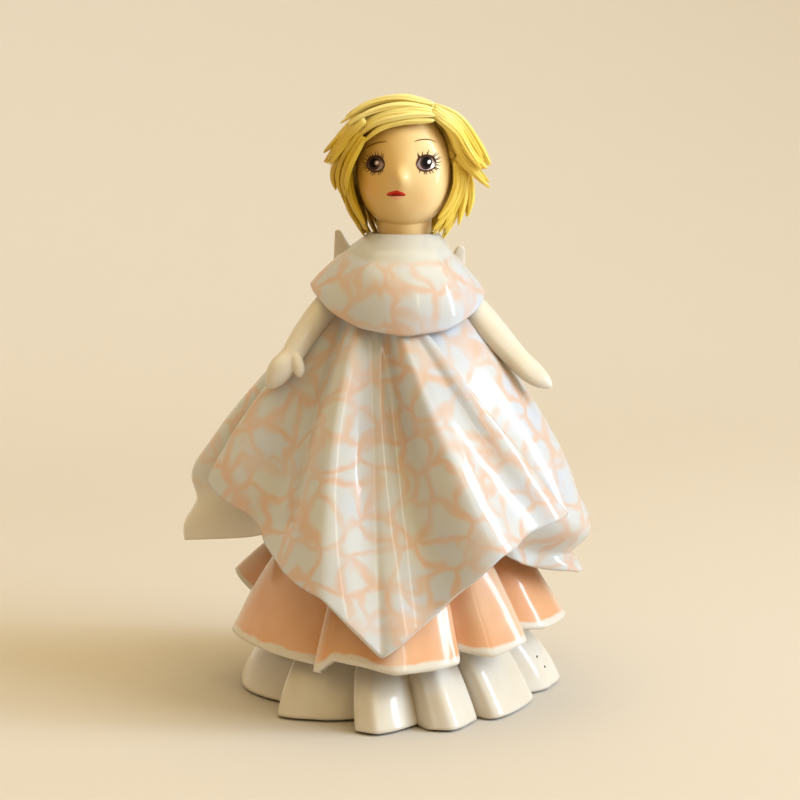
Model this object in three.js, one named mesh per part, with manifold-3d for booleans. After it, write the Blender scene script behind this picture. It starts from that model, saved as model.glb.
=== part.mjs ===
// Hand-built porcelain angel figurine, about 150 mm tall, as an assembly of the clay pieces it is put together from.
// Millimetres, +Z up, the face looks along -Y. Left and right are the figure's own, so its right arm is at -X.
// Angles round the figure start at the front and grow towards +X.
import * as THREE from "three";
import { mergeVertices } from "three/addons/utils/BufferGeometryUtils.js";
import Module from "manifold-3d";

const wasm = await Module();
wasm.setup();

// Gap left between pieces that are pressed together
const CLEARANCE = 0.3;

// Height that the figure is sculpted to. Sculpted sizes and places are for one of 150 mm and follow this height; the
// thickness of the clay doesn't.
const FIGURE_HEIGHT = 150;
const SCALE = FIGURE_HEIGHT / 150;

// Body cone: the hollow core that carries every other piece
const CORE_FOOT_RADIUS = 22 * SCALE;
const CORE_SHOULDER_RADIUS = 13 * SCALE;
const CORE_SHOULDER_HEIGHT = 97 * SCALE;
const CORE_WALL = 2.5;
const CORE_TOP = CORE_SHOULDER_HEIGHT + 15.6 * SCALE;
const CORE_SIDES = 24;

// Neck, and the socket in the top of the core that it stands in
const NECK_RADIUS = 6.7 * SCALE;
const SOCKET_DEPTH = 7 * SCALE;
const SOCKET_WALL = 1.8;
const SOCKET_LEDGE = 2.2;

// Skirts: ruffled bands whose waists grip the core. The ruffles are flat panels between crisp corners, and they lean:
// each leaves the waist some degrees before it reaches the hem.
const SKIRT_THICKNESS = 2.3;
const SKIRT_PLEAT = 0.1;
const SKIRT_CRISPNESS = 0.75;
const WHITE_SKIRT_TOP = 20 * SCALE;
const WHITE_SKIRT_KNEE = WHITE_SKIRT_TOP - 5.5 * SCALE;
const WHITE_SKIRT_TAPER = 5.5 * SCALE;
const WHITE_SKIRT_LEAN = 9;
const PINK_SKIRT_TOP = 50 * SCALE;
const PINK_SKIRT_KNEE = PINK_SKIRT_TOP - 14 * SCALE;
const PINK_SKIRT_TAPER = 10 * SCALE;
const PINK_SKIRT_LEAN = 2;

// Overskirt: a back sheet and a front sheet, laid over each other at the sides
const SHEET_THICKNESS = 1.3;
const SHEET_TOP = CORE_SHOULDER_HEIGHT + 2 * SCALE;
const SHEET_PLEAT = 0.25;

// Capelet: a round sheet on the shoulders, with a plain collar round the neck
const CAPELET_THICKNESS = 1.3;
const CAPELET_TOP = CORE_TOP + 3 * SCALE;
const CAPELET_SHOULDER_RADIUS = 17.5 * SCALE;
const CAPELET_SHOULDER_HEIGHT = CAPELET_TOP - 9.1 * SCALE;

// Head: an egg on the neck, turned a little to its right
const HEAD_HEIGHT = CAPELET_TOP + 16.4 * SCALE;
const HEAD_RADIUS = new THREE.Vector3(11.4, 11.2, 14.5).multiplyScalar(SCALE);
const HEAD_TURN = THREE.MathUtils.degToRad(-5);
const HEAD_TILT = THREE.MathUtils.degToRad(-2.3);
const NOSE_HEIGHT = 1.5 * SCALE;

// Hair: a cap on the skull with locks laid over it
const HAIR_CAP_THICKNESS = 1.9;
const HAIRLINE_SLOPE = THREE.MathUtils.degToRad(24);
const HAIRLINE_SETBACK = 3.2 * SCALE;
const LOCK_THICKNESS = 2.2;
const BACK_LOCKS = 7;

// Wings: flat slabs with a raised tip and scalloped feathers
const WING_THICKNESS = 2.6;
const WING_LEAN = THREE.MathUtils.degToRad(17);
const WING_FLARE = THREE.MathUtils.degToRad(16);
const RIGHT_WING_ROOT = new THREE.Vector3(-2.5, 22.5, 0).multiplyScalar(SCALE).setZ(CORE_SHOULDER_HEIGHT);
const LEFT_WING_ROOT = new THREE.Vector3(0.4, 22.5, 0).multiplyScalar(SCALE).setZ(CORE_SHOULDER_HEIGHT - 4.2 * SCALE);

const GLAZE = { roughness: 0.12, metalness: 0 };
const WHITE_PORCELAIN = new THREE.MeshStandardMaterial({ color: 0xf1ebdf, ...GLAZE });
const PINK_PORCELAIN = new THREE.MeshStandardMaterial({ color: 0xe8b294, ...GLAZE });
const PATTERNED_PORCELAIN = new THREE.MeshStandardMaterial({ color: 0xf0dccf, ...GLAZE });
const SKIN_PORCELAIN = new THREE.MeshStandardMaterial({ color: 0xeccb98, ...GLAZE });
const HAIR_PORCELAIN = new THREE.MeshStandardMaterial({ color: 0xe6cf52, roughness: 0.45, metalness: 0 });

// Solids

// A closed mesh as a solid that can be cut and joined
function solidOf(geometry) {
  const bare = geometry.clone();
  for (const name of Object.keys(bare.attributes)) {
    if (name !== "position") bare.deleteAttribute(name);
  }
  const merged = mergeVertices(bare, 1e-4);
  return new wasm.Manifold(new wasm.Mesh({
    numProp: 3,
    vertProperties: merged.attributes.position.array,
    triVerts: new Uint32Array(merged.index.array),
  }));
}

function geometryOf(solid) {
  const mesh = solid.getMesh();
  const geometry = new THREE.BufferGeometry();
  geometry.setAttribute("position", new THREE.BufferAttribute(mesh.vertProperties, mesh.numProp));
  geometry.setIndex(new THREE.BufferAttribute(mesh.triVerts, 1));
  return geometry.toNonIndexed();
}

// What is left of a piece once it is pressed against its neighbours, without the crumbs that a cut leaves
function pressed(piece, neighbours) {
  const cut = neighbours.reduce((rest, neighbour) => rest.subtract(neighbour), piece);
  return cut.decompose().reduce((a, b) => (a.volume() >= b.volume() ? a : b));
}

// Joins closed sections of equally many points into one body. The sections close into a ring, or get end caps.
function loft(sections, ring) {
  const points = sections[0].length;
  const positions = sections.flat().flatMap((p) => [p.x, p.y, p.z]);
  const at = (i, j) => (i % sections.length) * points + (j % points);
  const faces = [];
  const spans = ring ? sections.length : sections.length - 1;
  for (let i = 0; i < spans; i++) {
    for (let j = 0; j < points; j++) {
      faces.push(at(i, j), at(i + 1, j), at(i, j + 1), at(i + 1, j), at(i + 1, j + 1), at(i, j + 1));
    }
  }
  if (!ring) {
    const last = sections.length - 1;
    for (let j = 0; j < points / 2 - 1; j++) {
      const [a, b, c, d] = [j, j + 1, points - 2 - j, points - 1 - j];
      faces.push(at(0, a), at(0, b), at(0, d), at(0, b), at(0, c), at(0, d));
      faces.push(at(last, a), at(last, d), at(last, b), at(last, b), at(last, d), at(last, c));
    }
  }
  const geometry = new THREE.BufferGeometry();
  geometry.setAttribute("position", new THREE.Float32BufferAttribute(positions, 3));
  geometry.setIndex(faces);
  const solid = solidOf(geometry);
  if (solid.volume() > 0) return solid;
  geometry.setIndex(faces.reverse());
  return solidOf(geometry);
}

// Draped sheets

function polar(angle, radius, height) {
  const turn = THREE.MathUtils.degToRad(angle);
  return new THREE.Vector3(radius * Math.sin(turn), -radius * Math.cos(turn), height);
}

// The hem at s folds from the first one: the radius swings from fold to fold, or runs straight between crisp ones, the
// height runs straight, and the sides of each fold stand steep
function hemAt({ folds, pleat, crispness }, s) {
  const k = Math.min(Math.floor(s), folds.length - 1);
  const share = s - k;
  const from = folds[k];
  const to = folds[(k + 1) % folds.length];
  const swing = THREE.MathUtils.lerp((1 - Math.cos(Math.PI * share)) / 2, share, crispness);
  const turn = share + (pleat / (2 * Math.PI)) * Math.sin(2 * Math.PI * share);
  const mix = (name, weight) => THREE.MathUtils.lerp(from[name], to[name], weight);
  const onwards = (name, weight) => from[name] + (((to[name] - from[name]) % 360) + 360) % 360 * weight;
  return {
    topAngle: onwards("topAngle", share),
    angle: onwards("angle", turn),
    radius: mix("radius", swing),
    height: mix("height", turn),
    kneeRadius: mix("kneeRadius", swing),
    kneeHeight: mix("kneeHeight", swing),
  };
}

// A point of the drape: s folds round, and t of the way down from the top ring over the knee to the hem
function drapePoint(drape, s, t) {
  const hem = hemAt(drape, s);
  const top = polar(hem.topAngle, drape.topRadius, drape.topHeight);
  const knee = polar((hem.topAngle + hem.angle) / 2, hem.kneeRadius, hem.kneeHeight);
  const foot = polar(hem.angle, hem.radius, hem.height);
  return top.multiplyScalar((1 - t) ** 2).addScaledVector(knee, 2 * t * (1 - t)).addScaledVector(foot, t * t);
}

// The point with its directions round the figure, down the sheet and out of its face
function drapeFrame(drape, s, t) {
  const step = 0.02;
  const ends = drape.ring ? [s - step + drape.folds.length, s + step].map((x) => x % drape.folds.length)
    : [Math.max(s - step, 0), Math.min(s + step, drape.folds.length - 1)];
  const round = drapePoint(drape, ends[1], t).sub(drapePoint(drape, ends[0], t)).normalize();
  const down = drapePoint(drape, s, Math.min(t + step, 1)).sub(drapePoint(drape, s, Math.max(t - step, 0))).normalize();
  return { point: drapePoint(drape, s, t), round, down, normal: round.clone().cross(down).normalize() };
}

// The drape as a solid sheet. Growth moves its faces and edges outwards, to make room for what is pressed against it.
function drapeSolid(drape, growth = 0) {
  const half = drape.thickness / 2 + growth;
  const spans = drape.ring ? drape.folds.length : drape.folds.length - 1;
  const last = spans * drape.stepsRound;
  const outwards = (place, end) => (place === 0 ? -growth : place === end ? growth : 0);
  const sections = Array.from({ length: drape.ring ? last : last + 1 }, (_, i) => {
    const rows = Array.from({ length: drape.stepsDown + 1 }, (_, j) => {
      const frame = drapeFrame(drape, i / drape.stepsRound, j / drape.stepsDown);
      frame.point.addScaledVector(frame.down, outwards(j, drape.stepsDown));
      if (!drape.ring) frame.point.addScaledVector(frame.round, outwards(i, last));
      return frame;
    });
    const side = (way) => rows.map(({ point, normal }) => point.clone().addScaledVector(normal, way * half));
    return [...side(1), ...side(-1).reverse()];
  });
  return loft(sections, drape.ring);
}

// Folds from rows of the hem's [angle, radius, height over the base]. A row may add the [radius, height] of its knee, a
// control point part of the way up, and the angle at which it leaves the top.
function foldsOf(rows, kneeOf, base = 0) {
  return rows.map(([angle, hemRadius, hemHeight, knee, topAngle]) => {
    const radius = hemRadius * SCALE;
    const [kneeRadius, kneeHeight] = knee ? [knee[0] * SCALE, base + knee[1] * SCALE] : kneeOf(radius);
    return { angle, radius, height: base + hemHeight * SCALE, kneeRadius, kneeHeight, topAngle: topAngle ?? angle };
  });
}

// Body core

function coreRadius(height) {
  return THREE.MathUtils.mapLinear(height, 0, CORE_SHOULDER_HEIGHT, CORE_FOOT_RADIUS, CORE_SHOULDER_RADIUS);
}

function coreSolid(growth = 0) {
  const socketRadius = NECK_RADIUS + CLEARANCE;
  const ledge = CORE_TOP - SOCKET_DEPTH;
  const outer = [
    [CORE_FOOT_RADIUS + growth, 0],
    [CORE_SHOULDER_RADIUS + growth, CORE_SHOULDER_HEIGHT],
    [socketRadius + SOCKET_WALL + growth, ledge + growth],
    [socketRadius + SOCKET_WALL + growth, CORE_TOP + growth],
  ];
  const inner = [
    [socketRadius, CORE_TOP + growth],
    [socketRadius, ledge],
    [socketRadius - SOCKET_LEDGE, ledge],
    [socketRadius - SOCKET_LEDGE, ledge - CORE_WALL],
    [CORE_SHOULDER_RADIUS - CORE_WALL, CORE_SHOULDER_HEIGHT - CORE_WALL],
    [CORE_FOOT_RADIUS - CORE_WALL, 0],
  ];
  const profile = [...outer, ...inner, outer[0]].map(([r, z]) => new THREE.Vector2(r, z));
  return solidOf(new THREE.LatheGeometry(profile, CORE_SIDES).rotateX(Math.PI / 2));
}

// Skirts

function skirt(top, knee, taper, lean, rows) {
  const folds = foldsOf(rows, (radius) => [radius - taper, knee]);
  return {
    ring: true,
    folds: folds.map((fold) => ({ ...fold, topAngle: fold.angle - lean })),
    pleat: SKIRT_PLEAT,
    crispness: SKIRT_CRISPNESS,
    thickness: SKIRT_THICKNESS,
    topRadius: coreRadius(top) + CLEARANCE + SKIRT_THICKNESS / 2,
    topHeight: top,
    stepsRound: 3,
    stepsDown: 4,
  };
}

// The hem reaches a little below the table and is trimmed flat there
const WHITE_SKIRT = skirt(WHITE_SKIRT_TOP, WHITE_SKIRT_KNEE, WHITE_SKIRT_TAPER, WHITE_SKIRT_LEAN, [
  [-104, 42, 1.5], [-86, 40.5, 0.5], [-54, 32.5, 0], [-47, 41, -1], [-33, 36.8, -1], [-18, 31.5, -1], [-15, 41.2, -1],
  [-8.5, 42.4, -1], [6, 34, -1], [10.5, 39, -1], [16.5, 40.5, -1], [28, 35.5, -1], [31, 29, -1], [36.5, 37, -1],
  [66, 34.5, -1], [71, 29.5, -1], [84, 36.5, -0.5], [97, 40, 0], [110, 33, -1], [126, 41, -1], [146, 32.5, -1],
  [162, 42, -1], [182, 32.5, -1], [198, 41, -1], [218, 33, -1], [232, 42, -1], [244, 33.5, 0],
]);
const PINK_SKIRT = skirt(PINK_SKIRT_TOP, PINK_SKIRT_KNEE, PINK_SKIRT_TAPER, PINK_SKIRT_LEAN, [
  [-108, 46, 27], [-97, 35, 19], [-85, 43.2, 15.5], [-60, 40, 15], [-32, 36, 13.5], [-29, 42.8, 14],
  [-24, 41.3, 17], [-15, 41, 16.3], [-3, 43, 15], [9, 40.5, 15.2], [18.5, 38.2, 15.5], [22, 32.5, 17.5],
  [34, 37.8, 16], [49, 38.5, 18], [56, 29.5, 19], [72, 37, 18], [88, 40.5, 18.5], [104, 33.5, 18.5], [121, 42, 17],
  [142, 33.5, 18.5], [160, 43, 16.5], [181, 33.5, 18.5], [200, 43, 17], [219, 34.5, 18.5], [236, 44, 19],
]);

// Overskirt

// Hem folds of each sheet, from its right edge round to its left edge
const BACK_SHEET_TOP_RADIUS = coreRadius(CORE_SHOULDER_HEIGHT) + CLEARANCE + SHEET_THICKNESS / 2;
const FRONT_SHEET_TOP_RADIUS = BACK_SHEET_TOP_RADIUS + CLEARANCE + SHEET_THICKNESS;
const BACK_SHEET = {
  ring: false,
  folds: foldsOf([
    [44, 32, 41, [28, 68], -18], [58, 34, 36, [43, 58], 18], [88, 45, 30, [51, 56], 66], [114, 37, 36, [35, 66], 108],
    [136, 45.5, 31, [42, 62]], [154, 37, 28, [34, 64]], [178, 46, 20, [40, 58]], [204, 37, 28, [34, 64]],
    [226, 46, 34, [44, 62]], [245, 39, 42, [38, 68]], [267, 55.5, 37.5, [60, 61]], [282, 36.5, 41, [36, 66], 286],
    [298, 29, 46, [22, 70], 304],
  ]),
  pleat: SHEET_PLEAT,
  crispness: 0,
  thickness: SHEET_THICKNESS,
  topRadius: BACK_SHEET_TOP_RADIUS,
  topHeight: SHEET_TOP,
  stepsRound: 3,
  stepsDown: 5,
};
const FRONT_SHEET = {
  ring: false,
  folds: foldsOf([
    [-77, 50, 55.5, [37, 79]], [-57, 41, 42, [26, 70], -64], [-25, 45.5, 33, [36, 67], -40],
    [-7, 44, 19, [25, 62], -28], [13, 40, 28.5, [21.5, 66], -18], [30, 45, 42.3, [34, 72], -10],
    [46, 41.5, 46, [33, 74], -4], [63, 44.5, 48.6, [35.5, 76], 1],
  ]),
  pleat: SHEET_PLEAT,
  crispness: 0,
  thickness: SHEET_THICKNESS,
  topRadius: FRONT_SHEET_TOP_RADIUS,
  topHeight: SHEET_TOP,
  stepsRound: 4,
  stepsDown: 5,
};

// Capelet: its hem and knees are measured from its top

const CAPELET = {
  ring: true,
  folds: foldsOf([
    [-83, 24.5, -13.6, [18.5, -8.6]], [-54, 21.5, -18.6], [-30, 21.2, -21.6, [19.5, -10.6]],
    [0, 21.5, -23.3, [20, -11.1]], [28, 20.6, -22, [19.5, -11.1]], [54, 20, -19.1, [15.5, -10.1]],
    [84, 21, -15.1, [14, -11.1]], [112, 19.5, -18.1, [15, -10.6]], [138, 22, -16.1], [163, 20.5, -19.6],
    [190, 22, -17.6], [214, 20.5, -19.1], [240, 22.5, -16.1], [260, 21.5, -16.6],
  ], () => [CAPELET_SHOULDER_RADIUS, CAPELET_SHOULDER_HEIGHT], CAPELET_TOP),
  pleat: SHEET_PLEAT,
  crispness: 0,
  thickness: CAPELET_THICKNESS,
  topRadius: NECK_RADIUS + CLEARANCE + CAPELET_THICKNESS / 2,
  topHeight: CAPELET_TOP,
  stepsRound: 3,
  stepsDown: 5,
};

// Limbs and locks: round or flat sections swept along a curve

// A section of `sides` points, half a width to each side and half a thickness up and down
function section(centre, side, up, halfWidth, halfThickness, sides) {
  return Array.from({ length: sides }, (_, j) => {
    const turn = (2 * Math.PI * (j + 0.5)) / sides;
    return centre.clone()
      .addScaledVector(side, halfWidth * Math.cos(turn))
      .addScaledVector(up, halfThickness * Math.sin(turn));
  });
}

function sweep(points, sizeAt, upAt, steps, sides) {
  const curve = new THREE.CatmullRomCurve3(points);
  const sections = Array.from({ length: steps + 1 }, (_, i) => {
    const share = i / steps;
    const centre = curve.getPoint(share);
    const along = curve.getTangent(share);
    const side = new THREE.Vector3().crossVectors(along, upAt(centre)).normalize();
    const up = new THREE.Vector3().crossVectors(side, along);
    const { halfWidth, halfThickness } = sizeAt(share);
    return section(centre, side, up, halfWidth, halfThickness, sides);
  });
  return loft(sections, false);
}

// A value that runs through the given ones at equal steps of share
function through(values, share) {
  const place = share * (values.length - 1);
  const k = Math.min(Math.floor(place), values.length - 2);
  return THREE.MathUtils.lerp(values[k], values[k + 1], place - k);
}

const vectors = (rows) => rows.map(([x, y, z]) => new THREE.Vector3(x, y, z));

// Arms, each with a mitten hand. The right one shows its thumb.

const ARM_SIDES = 8;
const ARM_STEPS = 8;
const ARM_FRONT = new THREE.Vector3(0, -1, 0);

// A limb along points that are measured from the shoulder's height
function limb(rows, widths, thicknesses) {
  const path = vectors(rows).map((point) => {
    point.multiplyScalar(SCALE).z += CORE_SHOULDER_HEIGHT;
    return point;
  });
  return sweep(path, (share) => ({
    halfWidth: through(widths, share) * SCALE,
    halfThickness: through(thicknesses, share) * SCALE,
  }), () => ARM_FRONT, ARM_STEPS, ARM_SIDES);
}

const RIGHT_ARM = limb(
  [[-11, -2, 6.5], [-18.5, -5, 1.5], [-24, -8, -5], [-27.6, -11, -10.5], [-30.4, -13, -14], [-33.2, -13.5, -18.4]],
  [3.4, 3.5, 3.2, 2.8, 3.1, 1.6], [3.2, 3.3, 3, 2.6, 2.6, 1.4],
).add(limb(
  [[-26.8, -12, -9.6], [-25.9, -13.6, -12.6], [-25.2, -14.4, -15.6]], [1.6, 1.6, 1.2], [1.5, 1.5, 1.2],
));
const LEFT_ARM = limb(
  [[11, -2, 6.5], [17.3, -5, 0.5], [22.5, -7.5, -5.5], [27.5, -9.5, -11], [31.5, -11, -14.7], [36.4, -12, -18.2]],
  [3.4, 3.7, 3.7, 3.2, 3.2, 1.6], [3.2, 3.4, 3.2, 2.8, 2.4, 1.4],
);

// Head

const FACE = [
  { at: [0, -1, -0.1], height: NOSE_HEIGHT, spread: 0.15 },
  { at: [0, -0.83, -0.42], height: 0.5 * SCALE, spread: 0.13 },
  { at: [0, -0.62, -0.78], height: 0.9 * SCALE, spread: 0.3 },
  { at: [-0.6, -0.55, -0.55], height: 1.5 * SCALE, spread: 0.42 },
  { at: [0.6, -0.55, -0.55], height: 1.5 * SCALE, spread: 0.42 },
  { at: [-0.5, -0.85, 0.1], height: -0.5 * SCALE, spread: 0.2 },
  { at: [0.5, -0.85, 0.1], height: -0.5 * SCALE, spread: 0.2 },
].map((feature) => ({ ...feature, at: new THREE.Vector3(...feature.at).normalize() }));

// The skull's surface in a direction, with the face raised on it
function skullPoint(direction, growth) {
  const raised = FACE.reduce((sum, { at, height, spread }) => {
    return sum + height * Math.exp(-(direction.distanceTo(at) ** 2) / (2 * spread ** 2));
  }, growth);
  return direction.clone().multiply(HEAD_RADIUS).addScaledVector(direction, raised);
}

function skullSolid(growth = 0, sides = 28) {
  const geometry = new THREE.SphereGeometry(1, sides, Math.round(sides * 0.6)).rotateX(Math.PI / 2);
  const position = geometry.attributes.position;
  for (let i = 0; i < position.count; i++) {
    const point = skullPoint(new THREE.Vector3().fromBufferAttribute(position, i), growth);
    position.setXYZ(i, point.x, point.y, point.z);
  }
  return solidOf(geometry);
}

// The neck stands upright on the ledge in the core's socket and ends inside the head
function neckSolid() {
  const foot = CORE_TOP - SOCKET_DEPTH + CLEARANCE;
  const height = HEAD_HEIGHT - foot;
  return solidOf(new THREE.CylinderGeometry(NECK_RADIUS, NECK_RADIUS, height, CORE_SIDES)
    .rotateX(Math.PI / 2).translate(0, 0, foot + height / 2));
}

// Hair

// The cap covers the skull behind a slanting hairline
function hairCapSolid() {
  const reach = 4 * HEAD_RADIUS.z;
  const face = solidOf(new THREE.BoxGeometry(reach, reach, reach)
    .translate(0, -reach / 2 - HAIRLINE_SETBACK, -reach / 2 + HEAD_RADIUS.z)
    .rotateX(-HAIRLINE_SLOPE));
  const nape = solidOf(new THREE.BoxGeometry(reach, reach, reach)
    .translate(0, 0, -reach / 2 - HEAD_RADIUS.z * 0.62));
  return pressed(skullSolid(CLEARANCE + HAIR_CAP_THICKNESS, 20), [skullSolid(CLEARANCE, 20), face, nape]);
}

// A lock is a flat strip that follows the head, wide in the middle and drawn to a tip
const LOCK_STEPS = 5;
const LOCK_SIDES = 6;
const LOCK_TAPER = [0.7, 0.95, 1, 0.95, 0.75, 0.25];

// The outside of the cap, with the gap under the locks. Its hundredths measure the width and the way of the locks.
const HAIR_SHELL = HEAD_RADIUS.clone().addScalar(HAIR_CAP_THICKNESS + 2 * CLEARANCE);

function lock(name, breadth, weight, rows) {
  const path = vectors(rows).map((point) => point.multiply(HAIR_SHELL).divideScalar(100));
  return { name, width: breadth * HAIR_SHELL.x / 100, thickness: weight * LOCK_THICKNESS, path };
}

function lockSolid({ path, width, thickness }, growth = 0) {
  const outwards = (p) => p.clone().divide(HEAD_RADIUS).divide(HEAD_RADIUS).normalize();
  return sweep(path, (share) => ({
    halfWidth: (width / 2) * through(LOCK_TAPER, share) + growth,
    halfThickness: (thickness / 2) * (1 - 0.45 * share ** 3) + growth,
  }), outwards, LOCK_STEPS, LOCK_SIDES);
}

// The back locks hang side by side from the crown to the nape
function backLock(k) {
  const turn = THREE.MathUtils.degToRad(THREE.MathUtils.mapLinear(k, 0, BACK_LOCKS - 1, 98, 262));
  const rows = [[58, 107], [25, 110], [-10, 111], [-42, 113], [-62, 124]].map(([slope, lift]) => {
    const up = THREE.MathUtils.degToRad(slope);
    return [
      lift * Math.cos(up) * Math.sin(turn),
      -lift * Math.cos(up) * Math.cos(turn),
      lift * Math.sin(up),
    ];
  });
  return lock(`hair_back_${k + 1}`, 53, 0.9, rows);
}

// In the order in which they are laid on, each pressed against those before it
const LOCKS = [
  ...Array.from({ length: BACK_LOCKS }, (_, k) => backLock(k)),
  lock("hair_right_under_1", 40, 1, [[-96, 11, 6], [-101, 4, -47], [-73, -10, -94]]),
  lock("hair_right_under_2", 40, 1, [[-97, -20, 18], [-95, -22, -35], [-78, -22, -89]]),
  lock("hair_left_under_1", 36, 1.09, [[105, 15, 6], [114, 9, -41], [108, 4, -76]]),
  lock("hair_left_under_2", 36, 1.09, [[101, -15, 9], [105, -18, -41], [92, -19, -89]]),
  lock("hair_left_under_3", 33, 1, [[95, -35, 12], [96, -36, -29], [83, -35, -71], [68, -32, -99]]),
  lock("hair_left_face_lock", 26, 1, [[97, -40, 8], [100, -42, -25], [90, -44, -52], [71, -44, -76], [58, -42, -94]]),
  lock("hair_right_side_1", 43, 1, [[-66, -66, 53], [-96, -54, 18], [-108, -47, -12], [-105, -41, -38]]),
  lock("hair_right_side_2", 47, 1, [[-79, -35, 61], [-109, -31, 24], [-122, -26, -6], [-118, -23, -29]]),
  lock("hair_right_flick_1", 46, 1, [[-60, -57, 75], [-103, -46, 43], [-138, -36, 12]]),
  lock("hair_right_flick_2", 49, 1, [[-54, -23, 82], [-101, -18, 55], [-142, -15, 25]]),
  lock("hair_left_flick", 39, 1, [[94, -22, 14], [125, -22, -9], [154, -20, -34]]),
  lock("hair_left_sweep_1", 40, 1.18, [[52, -48, 80], [76, -57, 52], [97, -51, 20], [122, -43, 3], [148, -36, -5]]),
  lock("hair_left_sweep_2", 45, 1.27, [[52, -36, 82], [96, -38, 52], [124, -35, 19], [153, -29, -7]]),
  lock("hair_left_sweep_3", 45, 1.27, [[49, -6, 89], [98, -7, 67], [131, -12, 31], [155, -13, -4]]),
  lock("hair_left_sweep_4", 46, 1.09, [[43, 29, 88], [91, 26, 66], [121, 20, 29], [135, 16, -12]]),
  lock("hair_fringe", 39, 1, [[62, -50, 74], [10, -64, 76], [-42, -64, 68], [-94, -54, 38]]),
  lock("hair_crown_front", 46, 1, [[60, -28, 86], [2, -41, 95], [-56, -38, 88], [-112, -34, 62]]),
  lock("hair_crown_middle", 46, 1, [[52, -3, 90], [-5, -6, 99], [-60, -4, 89], [-112, -3, 56]]),
  lock("hair_crown_back", 49, 1, [[36, 34, 91], [-14, 34, 95], [-65, 34, 81], [-109, 29, 45]]),
];

// Wings

// The outline of the right wing: a raised tip, a straight outer edge and three feathers below
function wingShape() {
  const shape = new THREE.Shape();
  shape.moveTo(0, 6);
  shape.quadraticCurveTo(7, 7, 12.6, 18.2);
  shape.quadraticCurveTo(13.6, 19.4, 14.8, 18.4);
  shape.lineTo(16.8, 4);
  shape.quadraticCurveTo(18.4, -4, 14.4, -8);
  shape.quadraticCurveTo(14.6, -13, 9.6, -15);
  shape.quadraticCurveTo(8.4, -20, 3.4, -20);
  shape.quadraticCurveTo(0.6, -14, 0, -6);
  shape.closePath();
  return shape;
}

function wingSolid(root, side) {
  const bevel = 0.6;
  const geometry = new THREE.ExtrudeGeometry(wingShape(), {
    depth: WING_THICKNESS - 2 * bevel,
    bevelThickness: bevel,
    bevelSize: bevel,
    bevelSegments: 1,
    curveSegments: 5,
  });
  geometry.scale(SCALE, SCALE, 1).rotateX(Math.PI / 2).rotateX(WING_LEAN).rotateZ(WING_FLARE);
  const solid = solidOf(geometry.translate(side * root.x, root.y, root.z));
  return side > 0 ? solid : solid.mirror([1, 0, 0]);
}

// Assembly: from the core outwards, each piece pressed against those that it rests on

const figure = new THREE.Group();
const headGroup = new THREE.Group();
headGroup.position.z = HEAD_HEIGHT;
headGroup.rotation.set(0, HEAD_TILT, HEAD_TURN);
headGroup.updateMatrix();
figure.add(headGroup);

// A solid of the upright figure, seen from the turned and tilted head
function fromHead(solid) {
  return solidOf(geometryOf(solid).applyMatrix4(headGroup.matrix.clone().invert()));
}

function place(group, name, solid, material) {
  const mesh = new THREE.Mesh(geometryOf(solid), material);
  mesh.name = name;
  group.add(mesh);
}

const tableReach = 2 * FIGURE_HEIGHT;
const table = solidOf(new THREE.BoxGeometry(tableReach, tableReach, tableReach).translate(0, 0, -tableReach / 2));
const grown = {
  core: coreSolid(CLEARANCE),
  whiteSkirt: drapeSolid(WHITE_SKIRT, CLEARANCE),
  pinkSkirt: drapeSolid(PINK_SKIRT, CLEARANCE),
  backSheet: drapeSolid(BACK_SHEET, CLEARANCE),
  frontSheet: drapeSolid(FRONT_SHEET, CLEARANCE),
  capelet: drapeSolid(CAPELET, CLEARANCE),
};

place(figure, "body_core", coreSolid(), WHITE_PORCELAIN);
place(figure, "white_skirt", pressed(drapeSolid(WHITE_SKIRT), [grown.core, table]), WHITE_PORCELAIN);
place(figure, "pink_skirt", pressed(drapeSolid(PINK_SKIRT), [grown.core, grown.whiteSkirt]), PINK_PORCELAIN);
place(figure, "overskirt_front",
  pressed(drapeSolid(FRONT_SHEET), [grown.core, grown.pinkSkirt]), PATTERNED_PORCELAIN);
place(figure, "overskirt_back",
  pressed(drapeSolid(BACK_SHEET), [grown.core, grown.pinkSkirt, grown.frontSheet]), PATTERNED_PORCELAIN);
place(figure, "capelet",
  pressed(drapeSolid(CAPELET), [grown.core, grown.backSheet, grown.frontSheet]), PATTERNED_PORCELAIN);

const dress = [grown.core, grown.backSheet, grown.frontSheet, grown.capelet];
place(figure, "right_arm", pressed(RIGHT_ARM, dress), WHITE_PORCELAIN);
place(figure, "left_arm", pressed(LEFT_ARM, dress), WHITE_PORCELAIN);
place(figure, "right_wing", pressed(wingSolid(RIGHT_WING_ROOT, -1), dress), WHITE_PORCELAIN);
place(figure, "left_wing", pressed(wingSolid(LEFT_WING_ROOT, 1), dress), WHITE_PORCELAIN);

place(headGroup, "head", skullSolid().add(fromHead(neckSolid())), SKIN_PORCELAIN);
place(headGroup, "hair_cap", hairCapSolid(), HAIR_PORCELAIN);

// Room that the head and its cap take up under the locks, down to the collar
const underLocks = [skullSolid(CLEARANCE + HAIR_CAP_THICKNESS + CLEARANCE, 20), fromHead(grown.capelet)];
for (const strip of LOCKS) {
  place(headGroup, strip.name, pressed(lockSolid(strip), underLocks), HAIR_PORCELAIN);
  underLocks.push(lockSolid(strip, CLEARANCE));
}

// The part's origin is under the middle of its box, on the table
const part = new THREE.Group();
part.add(figure);
const box = new THREE.Box3().setFromObject(part);
figure.position.set(-(box.min.x + box.max.x) / 2, -(box.min.y + box.max.y) / 2, -box.min.z);

export default part;
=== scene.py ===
"""Looks of a hand-built porcelain angel figurine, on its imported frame: ruffled skirts, a patterned overskirt
and capelet, a painted doll's face and combed yellow hair. Pieces are shaped in millimetres, upright about the
figure's axis or in the frame of the turned head, and then set in the frame. Angles start at the front and
grow towards +X."""

import math

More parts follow.
